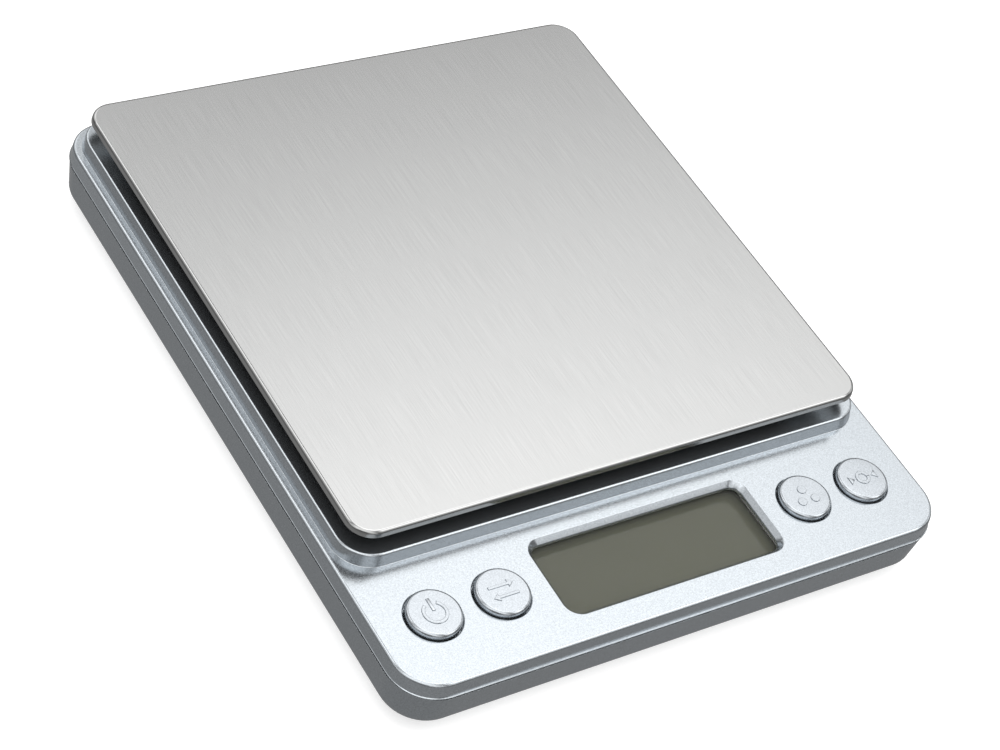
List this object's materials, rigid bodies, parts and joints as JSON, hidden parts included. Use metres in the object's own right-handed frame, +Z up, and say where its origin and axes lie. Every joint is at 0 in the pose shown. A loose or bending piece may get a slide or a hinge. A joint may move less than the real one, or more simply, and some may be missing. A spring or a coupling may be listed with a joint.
{
  "type": "digital gram scale",
  "caption": "Flat battery-powered digital gram scale with a square steel weighing pan on a silver case, round keys and a recessed display at the front.",
  "frame": {"origin": "centre of the footprint on the plane under the rubber feet", "axes": "+X to the right of the key panel, +Y from the key panel to the back, +Z up out of the weighing pan"},
  "size_m": [0.106, 0.127, 0.019],
  "materials": {
    "silver_paint": "satin metallic silver paint on moulded ABS",
    "key_paint": "satin metallic silver paint on moulded ABS",
    "steel": "finely brushed stainless sheet",
    "screw_steel": "zinc-plated steel",
    "clear_lens": "clear acrylic window",
    "display_glass": "blank reflective liquid-crystal glass",
    "white_plastic": "moulded white plastic",
    "black_plastic": "moulded black plastic",
    "black_rubber": "matt black rubber",
    "green_board": "green solder mask",
    "aluminium": "machined",
    "white_potting": "white silicone",
    "battery_wrap": "plain printed wrap",
    "nickel": "nickel plate",
    "red_wire": "PVC",
    "black_wire": "PVC",
    "green_wire": "PVC",
    "white_wire": "PVC",
    "label": "blank foil label"
  },
  "bodies": {
    "housing": {"battery_1": "battery_wrap", "battery_2": "battery_wrap", "battery_wire_minus": "black_wire", "battery_wire_plus": "red_wire", "blank_label": "label", "board_screw_front_left": "screw_steel", "board_screw_front_right": "screw_steel", "board_screw_rear_left": "screw_steel", "board_screw_rear_right": "screw_steel", "bottom_case": "silver_paint", "capacitor": "black_plastic", "case_screw_front_left": "screw_steel", "case_screw_front_right": "screw_steel", "case_screw_rear_left": "screw_steel", "case_screw_rear_right": "screw_steel", "chip_blob": "black_plastic", "circuit_board": "green_board", "contact_plate_bridge": "nickel", "contact_plate_minus": "nickel", "contact_plate_plus": "nickel", "contact_spring_1": "nickel", "contact_spring_2": "nickel", "crystal_can": "nickel", "foot_front_left": "black_rubber", "foot_front_right": "black_rubber", "foot_rear_left": "black_rubber", "foot_rear_right": "black_rubber", "gauge_cover": "white_potting", "lcd_frame": "white_plastic", "lcd_panel": "display_glass", "lcd_window": "clear_lens", "load_cell": "aluminium", "load_cell_screw_1": "screw_steel", "load_cell_screw_2": "screw_steel", "load_cell_wire_black": "black_wire", "load_cell_wire_green": "green_wire", "load_cell_wire_red": "red_wire", "load_cell_wire_white": "white_wire", "switch_count": "black_plastic", "switch_mode": "black_plastic", "switch_power": "black_plastic", "switch_tare": "black_plastic", "top_case": "silver_paint", "zebra_strip": "black_rubber"},
    "pan": {"weighing_pan": "steel", "pan_support": "black_plastic", "pan_screw_1": "screw_steel", "pan_screw_2": "screw_steel", "pan_pad_front_left": "black_rubber", "pan_pad_front_right": "black_rubber", "pan_pad_rear_left": "black_rubber", "pan_pad_rear_right": "black_rubber"},
    "key_power": {"button_power": "key_paint"},
    "key_mode": {"button_mode": "key_paint"},
    "key_count": {"button_count": "key_paint"},
    "key_tare": {"button_tare": "key_paint"},
    "door": {"battery_door": "silver_paint"}
  },
  "joints": [
    {"name": "pan_press", "type": "slide", "parent": "housing", "child": "pan", "axis": [0, 0, -1], "range_m": [0, 0.0004], "stiffness_N_per_m": 20000, "springref_m": -0.00006, "deforming": ["load_cell"]},
    {"name": "power_key_press", "type": "slide", "parent": "housing", "child": "key_power", "axis": [0, 0, -1], "range_m": [0, 0.0006], "stiffness_N_per_m": 900, "springref_m": -0.0006},
    {"name": "mode_key_press", "type": "slide", "parent": "housing", "child": "key_mode", "axis": [0, 0, -1], "range_m": [0, 0.0006], "stiffness_N_per_m": 900, "springref_m": -0.0006},
    {"name": "count_key_press", "type": "slide", "parent": "housing", "child": "key_count", "axis": [0, 0, -1], "range_m": [0, 0.0006], "stiffness_N_per_m": 900, "springref_m": -0.0006},
    {"name": "tare_key_press", "type": "slide", "parent": "housing", "child": "key_tare", "axis": [0, 0, -1], "range_m": [0, 0.0006], "stiffness_N_per_m": 900, "springref_m": -0.0006},
    {"name": "battery_door_hinge", "type": "hinge", "parent": "housing", "child": "door", "pos_m": [0, 0.0326, 0.002], "axis": [-1, 0, 0], "range_deg": [0, 100]}
  ]
}
